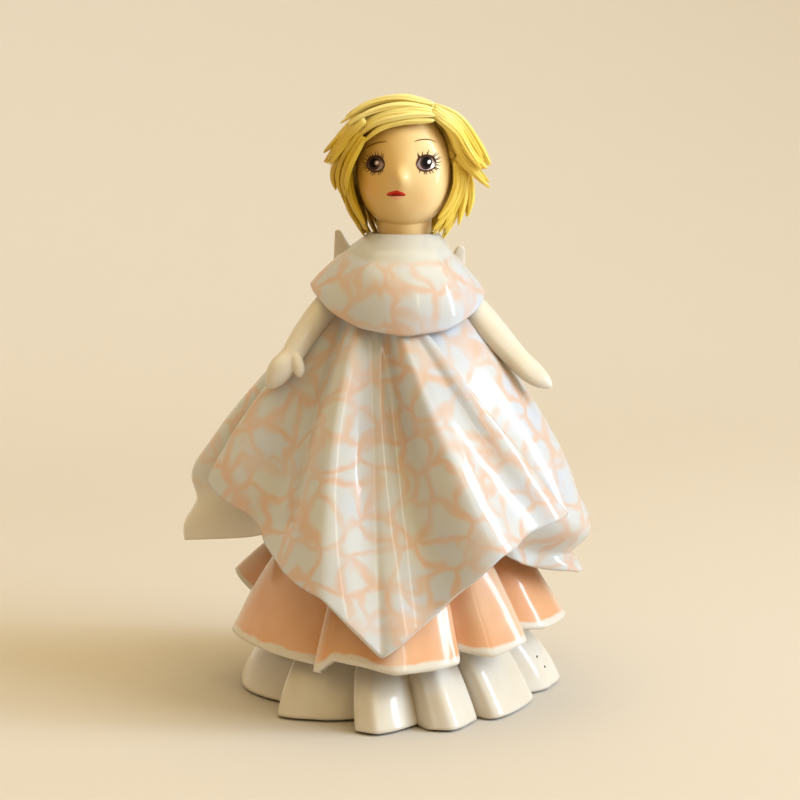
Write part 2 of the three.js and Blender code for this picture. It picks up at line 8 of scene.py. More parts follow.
import bmesh
import bpy
from mathutils import Matrix, Vector, noise
from mathutils.bvhtree import BVHTree


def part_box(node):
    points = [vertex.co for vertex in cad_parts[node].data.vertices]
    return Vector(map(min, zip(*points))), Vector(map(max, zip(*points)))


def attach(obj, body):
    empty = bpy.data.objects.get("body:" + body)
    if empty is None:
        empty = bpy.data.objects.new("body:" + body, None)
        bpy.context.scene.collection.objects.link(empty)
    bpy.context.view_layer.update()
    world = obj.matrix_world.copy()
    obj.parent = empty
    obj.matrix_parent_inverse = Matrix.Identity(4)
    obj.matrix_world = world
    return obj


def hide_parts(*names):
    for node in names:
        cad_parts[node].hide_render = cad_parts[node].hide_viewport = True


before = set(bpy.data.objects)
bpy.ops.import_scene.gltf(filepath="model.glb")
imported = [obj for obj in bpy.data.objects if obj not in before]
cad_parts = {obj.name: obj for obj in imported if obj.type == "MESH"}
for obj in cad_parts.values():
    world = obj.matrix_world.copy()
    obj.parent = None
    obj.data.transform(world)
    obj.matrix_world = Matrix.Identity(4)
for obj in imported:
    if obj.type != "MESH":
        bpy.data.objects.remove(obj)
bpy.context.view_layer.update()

MM = 0.001
core_low, core_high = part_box("body_core")
AXIS = Vector(((core_low.x + core_high.x) / 2, (core_low.y + core_high.y) / 2, 0))
FIGURE = Matrix.Translation(AXIS) @ Matrix.Scale(MM, 4)
HEAD_HEIGHT = 132
HEAD_LEAN = -2.3
HEAD_TURN = -5
HEAD = (
    FIGURE
    @ Matrix.Translation((0, 0, HEAD_HEIGHT))
    @ Matrix.Rotation(math.radians(HEAD_LEAN), 4, "Y")
    @ Matrix.Rotation(math.radians(HEAD_TURN), 4, "Z")
)


def mix(a, b, share):
    return a + (b - a) * share


def smooth(low, high, value):
    share = max(0, min(1, (value - low) / (high - low)))
    return share * share * (3 - 2 * share)


def bell(distance, spread):
    return math.exp(-(distance**2) / (2 * spread**2))


def across_head(x):
    return (HEAD @ Vector((x, 0, 0))).x


# Materials


def add_node(tree, kind, inputs=(), **settings):
    made = tree.nodes.new(kind)
    for name, value in settings.items():
        setattr(made, name, value)
    for name, value in dict(inputs).items():
        if isinstance(value, bpy.types.NodeSocket):
            tree.links.new(value, made.inputs[name])
        else:
            made.inputs[name].default_value = value
    return made


def colour(red, green, blue):
    return (red, green, blue, 1)


def blend_colours(tree, share, under, over):
    """Mixes two colours: a Mix node's sockets 0, 6 and 7, and its output 2, are those for colours."""
    made = add_node(tree, "ShaderNodeMix", data_type="RGBA")
    for socket, value in zip((made.inputs[0], made.inputs[6], made.inputs[7]), (share, under, over)):
        if isinstance(value, bpy.types.NodeSocket):
            tree.links.new(value, socket)
        else:
            socket.default_value = value
    return made.outputs[2]


def steps(tree, value, low, high, to_low=0, to_high=1):
    made = add_node(
        tree,
        "ShaderNodeMapRange",
        {"Value": value, "From Min": low, "From Max": high, "To Min": to_low, "To Max": to_high},
        interpolation_type="SMOOTHSTEP",
    )
    return made.outputs["Result"]


def mottle(tree, scale):
    place = add_node(tree, "ShaderNodeTexCoord").outputs["Object"]
    return add_node(tree, "ShaderNodeTexNoise", {"Vector": place, "Scale": scale, "Detail": 2}).outputs["Fac"]


def glaze(name, base, roughness=0.2, coat=0.5, shine=0.5):
    material = bpy.data.materials.new(name)
    material.use_nodes = True
    finish = material.node_tree.nodes["Principled BSDF"].inputs
    finish["Roughness"].default_value = roughness
    finish["IOR"].default_value = 1.5
    finish["Specular IOR Level"].default_value = shine
    finish["Coat Weight"].default_value = coat
    finish["Coat Roughness"].default_value = 0.04
    finish["Base Color"].default_value = base
    return material


def base_colour(material, socket):
    material.node_tree.links.new(socket, material.node_tree.nodes["Principled BSDF"].inputs["Base Color"])


MILK = colour(0.66, 0.60, 0.52)
CREAM = colour(0.63, 0.555, 0.44)
BLUSH_PINK = colour(0.69, 0.335, 0.165)
CELL_WHITE = colour(0.55, 0.545, 0.52)
CELL_BLUE = colour(0.515, 0.54, 0.595)
VEIN_PINK = colour(0.60, 0.415, 0.315)
CLOUDED_PINK = colour(0.72, 0.40, 0.23)
# Pale pink, a painted highlight on the crests of the pink skirt's folds
CREST_HIGHLIGHT_PINK = colour(0.73, 0.56, 0.43)
CAPE_WHITE = colour(0.55, 0.54, 0.50)
# Darker amber, painted shade for the skin on the figure's right, away from the lamps
SKIN_PAINTED_SHADE = colour(0.60, 0.36, 0.075)
SKIN_IVORY = colour(0.84, 0.60, 0.29)
CHEEK_PEACH = colour(0.74, 0.335, 0.07)
# Ochre is painted shade for the hair on the figure's right, pale yellow a painted highlight on the crown, and
# brown painted shade in the grooves
HAIR_PAINTED_SHADE = colour(0.60, 0.40, 0.012)
HAIR_LEMON = colour(0.85, 0.63, 0.10)
HAIR_PAINTED_HIGHLIGHT = colour(0.86, 0.74, 0.27)
HAIR_GROOVE_SHADE = colour(0.42, 0.22, 0.005)
CELLS_PER_METRE = 118


def white_glaze():
    material = glaze("white_glaze", MILK)
    tree = material.node_tree
    base_colour(material, blend_colours(tree, steps(tree, mottle(tree, 90), 0.35, 0.75), MILK, CREAM))
    return material


def pink_glaze():
    """Salmon pink, paler on the crests of the folds as a painted highlight, and white at the hem."""
    material = glaze("pink_glaze", BLUSH_PINK)
    tree = material.node_tree
    paint = add_node(tree, "ShaderNodeUVMap", uv_map="paint").outputs["UV"]
    across, down, _ = add_node(tree, "ShaderNodeSeparateXYZ", {"Vector": paint}).outputs
    ragged = add_node(
        tree, "ShaderNodeMath", {0: mottle(tree, 160), 1: 0.05, 2: down}, operation="MULTIPLY_ADD"
    ).outputs[0]
    cloudy = blend_colours(tree, steps(tree, mottle(tree, 70), 0.3, 0.7), BLUSH_PINK, CLOUDED_PINK)
    # Painted highlight: paler pink on the crests of the folds
    crest_highlight = blend_colours(tree, steps(tree, across, 0.6, 1, 0, 0.6), cloudy, CREST_HIGHLIGHT_PINK)
    base_colour(material, blend_colours(tree, steps(tree, ragged, 0.972, 0.992), crest_highlight, MILK))
    return material


def veined_glaze(name, bare):
    """White cells between pale pink veins that bleed a little into the glaze. The paint fades out where its
    map says so."""
    material = glaze(name, bare)
    tree = material.node_tree
    bent = add_node(tree, "ShaderNodeTexCoord").outputs["Object"]
    for scale, sway in ((90, 0.008), (260, 0.003)):
        wander = add_node(tree, "ShaderNodeTexNoise", {"Vector": bent, "Scale": scale, "Detail": 0.5})
        bent = add_node(
            tree,
            "ShaderNodeVectorMath",
            {0: wander.outputs["Color"], 1: (sway, sway, sway), 2: bent},
            operation="MULTIPLY_ADD",
        ).outputs[0]
    cells = add_node(
        tree,
        "ShaderNodeTexVoronoi",
        {"Vector": bent, "Scale": CELLS_PER_METRE, "Randomness": 0.75},
        feature="DISTANCE_TO_EDGE",
    )
    vein = steps(tree, cells.outputs["Distance"], 0.01, 0.2, 1, 0)
    strength = steps(tree, mottle(tree, 110), 0.3, 0.65, 0.5, 1)
    vein = add_node(tree, "ShaderNodeMath", {0: vein, 1: strength}, operation="MULTIPLY").outputs[0]
    paint = add_node(tree, "ShaderNodeUVMap", uv_map="paint").outputs["UV"]
    shown = add_node(tree, "ShaderNodeSeparateXYZ", {"Vector": paint}).outputs["Y"]
    cell = blend_colours(tree, steps(tree, mottle(tree, 60), 0.35, 0.7), CELL_WHITE, CELL_BLUE)
    painted = blend_colours(tree, vein, cell, VEIN_PINK)
    base_colour(material, blend_colours(tree, shown, bare, painted))
    return material


def skin_glaze():
    """Ivory skin with peach blush on the cheeks; painted shade makes the figure's right amber and its blush
    stronger.
    """
    material = glaze("skin_glaze", MILK, roughness=0.34, coat=0.4)
    tree = material.node_tree
    place = add_node(tree, "ShaderNodeTexCoord").outputs["Object"]
    across = add_node(tree, "ShaderNodeSeparateXYZ", {"Vector": place}).outputs["X"]
    # Painted shade: the skin turns darker amber towards the figure's right, away from the lamps
    side = steps(tree, across, across_head(-10), across_head(6))
    tone_with_painted_shade = blend_colours(tree, side, SKIN_PAINTED_SHADE, SKIN_IVORY)
    # Peach blush on both cheeks, laid on twice as strongly on the shaded cheek at the figure's right, as
    # painted shade
    for cheek, spread, strength in (((-7.6, -8.6, -4.6), 5, 0.4), ((4.2, -9.8, -7.4), 4, 0.2)):
        ends = {0: place, 1: HEAD @ Vector(cheek)}
        far = add_node(tree, "ShaderNodeVectorMath", ends, operation="DISTANCE").outputs["Value"]
        share = steps(tree, far, 0, spread * MM, strength, 0)
        tone_with_painted_shade = blend_colours(tree, share, tone_with_painted_shade, CHEEK_PEACH)
    base_colour(material, tone_with_painted_shade)
    return material


def hair_clay():
    """Lemon yellow clay. Painted shade: ochre on the figure's right, brown in grooves. Painted highlight: pale
    crown.
    """
    material = glaze("hair_clay", MILK, roughness=0.4, coat=0.5)
    tree = material.node_tree
    edge = add_node(tree, "ShaderNodeNewGeometry").outputs["Pointiness"]
    place = add_node(tree, "ShaderNodeTexCoord").outputs["Object"]
    parts = add_node(tree, "ShaderNodeSeparateXYZ", {"Vector": place}).outputs
    # Painted shade: ochre towards the figure's right, away from the lamps
    side = steps(tree, parts["X"], across_head(-14), across_head(2))
    # Painted highlight: paler towards the top of the crown, where light falls from above
    crown = steps(tree, parts["Z"], (HEAD_HEIGHT + 7) * MM, (HEAD_HEIGHT + 14) * MM)
    stain_and_painted_light = blend_colours(tree, side, HAIR_PAINTED_SHADE, HAIR_LEMON)
    stain_and_painted_light = blend_colours(tree, crown, stain_and_painted_light, HAIR_PAINTED_HIGHLIGHT)
    # Painted shade: brown where the surface curves in, in the grooves between strands
    base_colour(material, blend_colours(tree, steps(tree, edge, 0.40, 0.52), HAIR_GROOVE_SHADE, stain_and_painted_light))
    return material


def paint_of(name, tint):
    return glaze(name, tint, roughness=0.5, coat=0, shine=0.06)


WHITE = white_glaze()
PINK = pink_glaze()
VEINED = veined_glaze("veined_glaze", MILK)
CAPE_GLAZE = veined_glaze("cape_glaze", CAPE_WHITE)
SKIN = skin_glaze()
HAIR = hair_clay()
EYE_GREY = paint_of("eye_grey", colour(0.13, 0.075, 0.065))
EYE_LILAC = paint_of("eye_lilac", colour(0.30, 0.21, 0.20))
EYE_PALE = paint_of("eye_pale", colour(0.58, 0.45, 0.41))
IRIS_BROWN = paint_of("iris_brown", colour(0.045, 0.024, 0.018))
PUPIL_BLACK = paint_of("pupil_black", colour(0.006, 0.005, 0.005))
# White paint, for painted highlights in the eyes and for the whites of the eyes
GLINT_WHITE = paint_of("glint_white", colour(0.9, 0.9, 0.88))
LASH_BROWN = paint_of("lash_brown", colour(0.06, 0.026, 0.016))
BROW_BROWN = paint_of("brow_brown", colour(0.22, 0.09, 0.035))
# Painted shade: the dark inside of the two pinholes, which are dots and not cut
HOLE_PAINTED_SHADE = paint_of("painted_hole_shade", colour(0.05, 0.035, 0.012))
LIP_RED = paint_of("lip_red", colour(0.56, 0.045, 0.022))
LIP_PINK = paint_of("lip_pink", colour(0.80, 0.42, 0.24))
LIP_CRIMSON = paint_of("lip_crimson", colour(0.40, 0.014, 0.01))
LIP_DARK = paint_of("lip_dark", colour(0.16, 0.012, 0.008))


# Pieces


def make_piece(name, bm, materials, nodes=()):
    mesh = bpy.data.meshes.new(name)
    bm.to_mesh(mesh)
    bm.free()
    mesh.shade_smooth()
    for material in materials:
        mesh.materials.append(material)
    piece = bpy.data.objects.new(name, mesh)
    bpy.context.scene.collection.objects.link(piece)
    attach(piece, "root")
    if nodes:
        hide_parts(*nodes)
    return piece


# Draped sheets of clay

# How far rolled clay strays from an even sheet
CLAY_WANDER = 0.3


def polar(angle, radius, height):
    turn = math.radians(angle)
    return Vector((radius * math.sin(turn), -radius * math.cos(turn), height))


def fold_rows(rows, knee_of=None):
    """Hem folds as (angle, radius, height, knee radius, knee height, angle at the top)."""
    folds = []
    for angle, radius, height, *rest in rows:
        knee = rest[0] if rest else knee_of(radius)
        folds.append((angle, radius, height, *knee, rest[1] if len(rest) > 1 else angle))
    return folds


def drape_point(drape, s, t):
    """The point s folds round, and t of the way down from the top ring over the knee to the hem."""
    folds = drape["folds"]
    k = min(int(s), len(folds) - (1 if drape["ring"] else 2))
    share = s - k
    one, two = folds[k], folds[(k + 1) % len(folds)]
    swing = mix((1 - math.cos(math.pi * share)) / 2, share, drape["crisp"])
    turn = share + drape["pleat"] / (2 * math.pi) * math.sin(2 * math.pi * share)
    top_angle = one[5] + (two[5] - one[5]) % 360 * share
    angle = one[0] + (two[0] - one[0]) % 360 * turn
    top = polar(top_angle, drape["top_radius"], drape["top"])
    knee = polar((top_angle + angle) / 2, mix(one[3], two[3], swing), mix(one[4], two[4], swing))
    hem = polar(angle, mix(one[1], two[1], swing), max(mix(one[2], two[2], turn), drape.get("lowest", -1)))
    point = top * (1 - t) ** 2 + knee * (2 * t * (1 - t)) + hem * t**2
    out = Vector((point.x, point.y, 0)).normalized()
    for at_s, at_t, wide, long, depth in drape.get("dents", ()):
        point += out * depth * bell(s - at_s, wide) * bell(t - at_t, long)
    return point


def crest_share(drape, s):
    """1 on the crest of a fold, running to 0 at the next row on either side."""
    folds = drape["folds"]
    k = int(s) % len(folds)

    def crest(row):
        before, here, after = (folds[(row + step) % len(folds)][1] for step in (-1, 0, 1))
        return 1 if here > before and here > after else 0

    return mix(crest(k), crest(k + 1), s - int(s))


def drape_piece(name, drape, materials, round_steps, down_steps):
    """A hand-rolled sheet: the drape in uneven clay, thickened to both sides and rounded at its edges."""
    spans = len(drape["folds"]) - (0 if drape["ring"] else 1)
    bm = bmesh.new()
    paint = bm.loops.layers.uv.new("paint")
    bmesh.ops.create_grid(bm, x_segments=spans * round_steps, y_segments=down_steps, size=0.5)
    at = {v: ((v.co.x + 0.5) * spans, 0.5 - v.co.y) for v in bm.verts}
    for face in bm.faces:
        for loop in face.loops:
            s, t = at[loop.vert]
            loop[paint].uv = (crest_share(drape, s), drape["paint"](s, t))
    for v, (s, t) in at.items():
        point = drape_point(drape, s, t)
        out = Vector((point.x, point.y, 0)).normalized()
        uneven = noise.noise(point / 13) * CLAY_WANDER + noise.noise(point / 5) * CLAY_WANDER * 0.35
        v.co = FIGURE @ (point + out * uneven * smooth(0, 0.2, t))
    if drape["ring"]:
        bmesh.ops.remove_doubles(bm, verts=bm.verts, dist=0.01 * MM)
    bm.normal_update()
    outwards = sum(f.normal.dot(Vector((f.calc_center_median() - AXIS).to_2d().to_3d())) for f in bm.faces)
    if outwards < 0:
        bmesh.ops.reverse_faces(bm, faces=bm.faces)
    piece = make_piece(name, bm, materials, [name])
    shell = piece.modifiers.new("clay_thickness", "SOLIDIFY")
    shell.thickness = drape["thickness"] * MM
    shell.offset = 0
    shell.material_offset = 1
    shell.material_offset_rim = 1
    shell.edge_crease_outer = shell.edge_crease_inner = drape.get("rim_crease", 0.5)
    rounded = piece.modifiers.new("round_off", "SUBSURF")
    rounded.levels = rounded.render_levels = 1


CLEARANCE = 0.3
SKIRT_THICKNESS = 2.3
SHEET_THICKNESS = 1.5
CORE_FOOT_RADIUS = 22
CORE_SHOULDER_RADIUS = 13
CORE_SHOULDER_HEIGHT = 97


def core_radius(height):
    return mix(CORE_FOOT_RADIUS, CORE_SHOULDER_RADIUS, height / CORE_SHOULDER_HEIGHT)


def skirt(top, knee, taper, twist, rows):
    """A ruffled band. Its folds lean, as they leave the waist some degrees before they reach the hem."""
    folds = [(*fold[:5], fold[0] - twist) for fold in fold_rows(rows, lambda radius: (radius - taper, knee))]
    return {
        "ring": True,
        "pleat": 0.1,
        "crisp": 0.75,
        "top": top,
        "top_radius": core_radius(top) + CLEARANCE + SKIRT_THICKNESS / 2,
        "thickness": SKIRT_THICKNESS,
        "folds": folds,
        "paint": lambda s, t: t,
    }


WHITE_SKIRT = skirt(20, 14.5, 5.5, 9, (
    (-104, 42, 1.5), (-86, 40.5, 0.5), (-54, 32.5, 0), (-47, 41, -1), (-33, 36.8, -1), (-18, 31.5, -1),
    (-15, 41.2, -1), (-8.5, 42.4, -1), (6, 34, -1), (10.5, 39, -1), (16.5, 40.5, -1), (28, 35.5, -1),
    (31, 29, -1), (36.5, 37, -1), (66, 34.5, -1), (71, 29.5, -1), (84, 36.5, -0.5), (97, 40, 0),
    (110, 33, -1), (126, 41, -1), (146, 32.5, -1), (162, 42, -1), (182, 32.5, -1), (198, 41, -1),
    (218, 33, -1), (232, 42, -1), (244, 33.5, 0),
))
WHITE_SKIRT["lowest"] = 0.4
PINK_SKIRT = skirt(50, 36, 10, 2, (
    (-108, 46, 27), (-97, 35, 19), (-85, 43.2, 15.5), (-60, 40, 15), (-32, 36, 13.5), (-29, 42.8, 14),
    (-24, 41.3, 17), (-15, 41, 16.3), (-3, 43, 15), (9, 40.5, 15.2), (18.5, 38.2, 15.5), (22, 32.5, 17.5),
    (34, 37.8, 16), (49, 38.5, 18), (56, 29.5, 19), (72, 37, 18), (88, 40.5, 18.5), (104, 33.5, 18.5),
    (121, 42, 17), (142, 33.5, 18.5), (160, 43, 16.5), (181, 33.5, 18.5), (200, 43, 17), (219, 34.5, 18.5),
    (236, 44, 19),
))
# Dents are (folds round, share of the way down, width, length, how far out)
BACK_SHEET = {
    "ring": False,
    "pleat": 0.25,
    "crisp": 0,
    "top": 99,
    "top_radius": 13.95,
    "thickness": SHEET_THICKNESS,
    "dents": (
        (1.9, 0.9, 0.7, 0.045, -4), (1.9, 0.76, 0.7, 0.06, 1.5),
        (10, 0.79, 0.8, 0.06, -3), (10, 0.64, 0.8, 0.06, 1),
    ),
    "paint": lambda s, t: 1 - smooth(8.9, 9.6, s) * smooth(0.62, 0.8, t),
    "folds": fold_rows((
        (44, 32, 41, (28, 68), -18), (58, 34, 36, (43, 58), 18), (88, 45, 30, (51, 56), 66),
        (114, 37, 36, (35, 66), 108), (136, 45.5, 31, (42, 62)), (154, 37, 28, (34, 64)),
        (178, 46, 20, (40, 58)), (204, 37, 28, (34, 64)), (226, 46, 34, (44, 62)), (245, 39, 42, (38, 68)),
        (267, 55.5, 37.5, (60, 61)), (282, 36.5, 41, (36, 66), 286), (298, 29, 46, (22, 70), 304),
    )),
}
FRONT_SHEET = {
    "ring": False,
    "pleat": 0.25,
    "crisp": 0,
    "top": 99,
    "top_radius": 15.55,
    "thickness": SHEET_THICKNESS,
    "dents": (
        (0.55, 1.02, 0.3, 0.07, -3), (2, 0.55, 0.1, 0.4, 0.6),
        (5, 0.7, 0.1, 0.25, 0.5), (3.85, 0.45, 0.5, 0.22, -1.5),
    ),
    "paint": lambda s, t: 1,
    "folds": fold_rows((
        (-77, 50, 55.5, (37, 79)), (-57, 41, 42, (26, 70), -64), (-25, 45.5, 33, (36, 67), -40),
        (-7, 44, 19, (25, 62), -28), (11, 40, 28.5, (21.5, 66), -20), (30, 45, 42.3, (34, 72), -10),
        (46, 41.5, 46, (33, 74), -4), (63, 44.5, 48.6, (35.5, 76), 1),
    )),
}
CAPELET = {
    "ring": True,
    "pleat": 0.25,
    "crisp": 0,
    "top": 115.6,
    "top_radius": 7.65,
    "thickness": 2,
    "rim_crease": 0,
    "dents": ((6, 0.3, 9, 0.035, -0.5),),
    "paint": lambda s, t: smooth(0.27, 0.34, t),
    "folds": fold_rows((
        (-83, 23, 102.8, (19, 108)), (-54, 21.6, 97.5, (21, 106)), (-30, 21, 94, (22.5, 105)),
        (0, 21, 92.3, (23, 105)), (28, 20.4, 93.4, (22, 105)), (54, 19.8, 96.5, (18, 106)),
        (84, 20, 101.2, (15.5, 106)), (112, 19.5, 98.8, (15, 105)), (138, 22, 99.5), (163, 20.5, 96),
        (190, 22, 98), (214, 20.5, 96.5), (240, 22.5, 99.8), (260, 22, 101),
    ), lambda radius: (17.5, 106.5)),
}

drape_piece("white_skirt", WHITE_SKIRT, (WHITE, WHITE), 8, 20)
drape_piece("pink_skirt", PINK_SKIRT, (PINK, WHITE), 8, 24)
drape_piece("overskirt_back", BACK_SHEET, (VEINED, WHITE), 12, 40)
drape_piece("overskirt_front", FRONT_SHEET, (VEINED, WHITE), 14, 44)
drape_piece("capelet", CAPELET, (CAPE_GLAZE, WHITE), 8, 28)


SPOT_RADIUS = 0.38
SPOT_LIFT = 0.15


def pinholes():
    """Two small dark spots on the fold of the white skirt at the viewer's right, painted shade where the
    pinholes are.
    """
    bm = bmesh.new()
    for s, t in ((16.1, 0.675), (16.2, 0.8)):
        point = drape_point(WHITE_SKIRT, s, t)
        out = Vector((point.x, point.y, 0)).normalized()
        made = bmesh.ops.create_uvsphere(bm, u_segments=16, v_segments=10, radius=SPOT_RADIUS)
        bmesh.ops.scale(bm, verts=made["verts"], vec=(0.6, 0.7, 1))
        bmesh.ops.translate(bm, verts=made["verts"], vec=point + out * (SKIRT_THICKNESS / 2 + SPOT_LIFT))
    bm.transform(FIGURE)
    make_piece("pinholes", bm, (HOLE_PAINTED_SHADE,))


pinholes()


# Limbs and locks: balls drawn out along a curve


def along(points, share):
    """A point, or a number, on the smooth curve through the given ones."""
    place = share * (len(points) - 1)
    k = min(int(place), len(points) - 2)
    f = place - k
    b, c = points[k], points[k + 1]
    a = points[k - 1] if k else b * 2 - c
    d = points[k + 2] if k + 2 < len(points) else c * 2 - b
    return (b * 2 + (c - a) * f + (a * 2 - b * 5 + c * 4 - d) * f**2 + (b * 3 - a - c * 3 + d) * f**3) * 0.5


def drawn_out(bm, path, outwards, rings, sides, place):
    """A ball drawn along the path. place(share, turn) gives the share of the path, and how far to the side
    and up from it a point lies."""
    ball = bmesh.ops.create_uvsphere(bm, u_segments=sides, v_segments=rings, radius=1)
    for v in ball["verts"]:
        share = math.acos(max(-1, min(1, v.co.z))) / math.pi
        turn = math.atan2(v.co.y, v.co.x)
        reached, aside, up = place(share, turn)
        centre = along(path, reached)
        ahead = (along(path, min(reached + 0.02, 1)) - along(path, max(reached - 0.02, 0))).normalized()
        side = ahead.cross(outwards(centre)).normalized()
        v.co = centre + side * aside + side.cross(ahead) * up


def blunt(share, rounding):
    """Runs from 0 at either end of a limb to 1, as a round end does."""
    near = min(min(share, 1 - share) / rounding, 1)
    return math.sqrt(1 - (1 - near) ** 2)


def limb(bm, rows, widths, thicknesses, rounding=0.12, facing=(0, -1, 0)):
    path = [Vector(row) for row in rows]

    def place(share, turn):
        full = blunt(share, rounding)
        aside = along(widths, share) * full * math.cos(turn)
        up = along(thicknesses, share) * full * math.sin(turn)
        return share, aside, up

    drawn_out(bm, path, lambda point: Vector(facing).normalized(), 40, 32, place)


def arm_piece(name, arm, thumb=None, facing=(0, -1, 0)):
    """An arm, with its thumb where that is seen. Both are a path with half its widths and thicknesses."""
    bm = bmesh.new()
    limb(bm, *arm, facing=facing)
    if thumb:
        limb(bm, *thumb, rounding=0.3)
    bm.transform(FIGURE)
    bmesh.ops.recalc_face_normals(bm, faces=bm.faces)
    piece = make_piece(name, bm, (WHITE,), [name])
    pressed = piece.modifiers.new("pressed_together", "REMESH")
    pressed.voxel_size = 0.22 * MM
    pressed.use_smooth_shade = True
    smoothed = piece.modifiers.new("smoothed_clay", "SMOOTH")
    smoothed.iterations = 5


arm_piece(
    "right_arm",
    (
        ((-11, -2, 103.5), (-18.5, -5, 98.5), (-24, -8, 92), (-27.6, -11, 86.5), (-30.4, -13, 83),
         (-33.2, -13.5, 78.6)),
        (3.4, 3.5, 3.2, 2.8, 3.1, 1.6),
        (3.2, 3.3, 3, 2.6, 2.6, 1.4),
    ),
    (((-26.8, -12, 87.4), (-25.9, -13.6, 84.4), (-25.2, -14.4, 81.4)), (1.6, 1.6, 1.2), (1.5, 1.5, 1.2)),
)
arm_piece(
    "left_arm",
    (
        ((11, -2, 103.5), (17.3, -5, 97.5), (22.5, -7.5, 91.5), (27.5, -9.5, 86), (31.5, -11, 82.3),
         (36.4, -12, 78.8)),
        (3.5, 4.1, 4.1, 3.5, 3.4, 1.7),
        (3, 2.6, 2.4, 2.1, 1.9, 1.2),
    ),
    facing=(0.5, -0.75, 0.45),
)


# Wings


def quadratic(a, b, c, share):
    return a * (1 - share) ** 2 + b * (2 * share * (1 - share)) + c * share**2


# Corners and control points of the outline: a raised tip, a straight outer edge and three feathers below
WING_ARCS = [[Vector(point) for point in arc] for arc in (
    ((0, 6), (7, 7), (12.6, 18.2)), ((12.6, 18.2), (13.6, 19.6), (14.8, 18.4)),
    ((14.8, 18.4), (15.8, 11.2), (16.8, 4)), ((16.8, 4), (18.4, -4), (14.4, -8)),
    ((14.4, -8), (14.6, -13), (9.6, -15)), ((9.6, -15), (8.4, -20), (3.4, -20)),
    ((3.4, -20), (0.6, -14), (0, -6)), ((0, -6), (0, 0), (0, 6)),
)]
WING_HEART = Vector((8.5, -2))
WING_THICKNESS = 2.6
WING_SWEEP = 16
WING_LEAN = 17
FEATHER_PITCH = 5.6


def wing_piece(name, root, side):
    """A pillow of clay within the wing's outline. Grooves between its feathers end short of the middle."""
    bm = bmesh.new()
    bmesh.ops.create_uvsphere(bm, u_segments=160, v_segments=48, radius=1)
    sweep = Matrix.Rotation(math.radians(WING_SWEEP), 4, "Z")
    turn = sweep @ Matrix.Rotation(math.radians(WING_LEAN + 90), 4, "X")
    for v in bm.verts:
        rise = max(-1, min(1, v.co.z))
        share = (math.atan2(v.co.y, v.co.x) / (2 * math.pi)) % 1
        place = share * len(WING_ARCS)
        k = min(int(place), len(WING_ARCS) - 1)
        rim = quadratic(*WING_ARCS[k], place - k)
        out = math.cos(math.asin(rise)) ** 0.7
        flat = WING_HEART + (rim - WING_HEART) * out
        feather = abs(math.sin(math.pi * (flat.y + 0.35 * flat.x + 2) / FEATHER_PITCH))
        depth = smooth(6, -2, flat.y) * smooth(2, 7, flat.x) * smooth(0.42, 0.66, out)
        half = WING_THICKNESS / 2 * math.copysign(abs(rise) ** 0.6, rise)
        half *= 1 - 0.5 * depth * (1 - feather) ** 4
        v.co = Vector((flat.x, flat.y, half - WING_THICKNESS / 2))
    bm.transform(turn)
    bm.transform(Matrix.Translation((side * root[0], root[1], root[2])))
    if side < 0:
        bm.transform(Matrix.Scale(-1, 4, (1, 0, 0)))
    bm.transform(FIGURE)
    bmesh.ops.recalc_face_normals(bm, faces=bm.faces)
    make_piece(name, bm, (WHITE,), [name])


wing_piece("right_wing", (-2.5, 22.5, 97), -1)
wing_piece("left_wing", (0.4, 22.5, 92.8), 1)


# Head

HEAD_RADIUS = Vector((11.4, 11.2, 14.5))
NECK_RADIUS = 7.1
NECK_WAIST = 0.4
NECK_FOOT = 106
NECK_LENGTH = 16
# Bumps of the face as (direction, height, spread)
FACE = [(Vector(at).normalized(), height, spread) for at, height, spread in (
    ((0, -1, -0.15), 1.9, 0.1),  # nose
    ((0, -1, -0.04), 0.35, 0.19),  # bridge of the nose
    ((-0.09, -0.83, -0.42), 0.45, 0.12),  # mouth
    ((0, -0.62, -0.78), 0.9, 0.3),  # chin
    ((-0.6, -0.55, -0.55), 1.5, 0.42), ((0.6, -0.55, -0.55), 1.5, 0.42),  # cheeks
    ((-0.52, -0.85, 0.1), -0.55, 0.17), ((0.52, -0.85, 0.1), -0.55, 0.17),  # hollows of the eyes
)]


def skull_point(direction, growth=0):
    raised = growth + sum(height * bell((direction - at).length, spread) for at, height, spread in FACE)
    return Vector(a * b for a, b in zip(direction, HEAD_RADIUS)) + direction * raised


def head_piece():
    bm = bmesh.new()
    bmesh.ops.create_uvsphere(bm, u_segments=128, v_segments=96, radius=1)
    for v in bm.verts:
        v.co = skull_point(v.co.normalized())
    face = BVHTree.FromBMesh(bm)
    neck = bmesh.ops.create_cone(
        bm, cap_ends=True, segments=64, radius1=1, radius2=1, depth=1, matrix=Matrix.Translation((0, 0, 0.5))
    )
    of_neck = set(neck["verts"])
    sides = [e for e in bm.edges if all(v in of_neck for v in e.verts) and e.verts[0].co.z != e.verts[1].co.z]
    bmesh.ops.subdivide_edges(bm, edges=sides, cuts=12)
    upright = HEAD.inverted() @ FIGURE
    # Only the neck still has its unit size here
    for v in [v for v in bm.verts if v.co.length < 2]:
        radius = NECK_RADIUS - NECK_WAIST * math.sin(math.pi * v.co.z)
        v.co = upright @ Vector((v.co.x * radius, v.co.y * radius, NECK_FOOT + v.co.z * NECK_LENGTH))
    bm.transform(HEAD)
    bmesh.ops.recalc_face_normals(bm, faces=bm.faces)
    make_piece("head", bm, (SKIN,), ["head"])
    return face


face_surface = head_piece()


# Face paint: flat dabs that follow the face

BEFORE_FACE = -40


def on_face(x, z, lift):
    point, normal, _, _ = face_surface.ray_cast(Vector((x, BEFORE_FACE, z)), Vector((0, 1, 0)))
    return point + (normal if normal.y < 0 else -normal) * lift


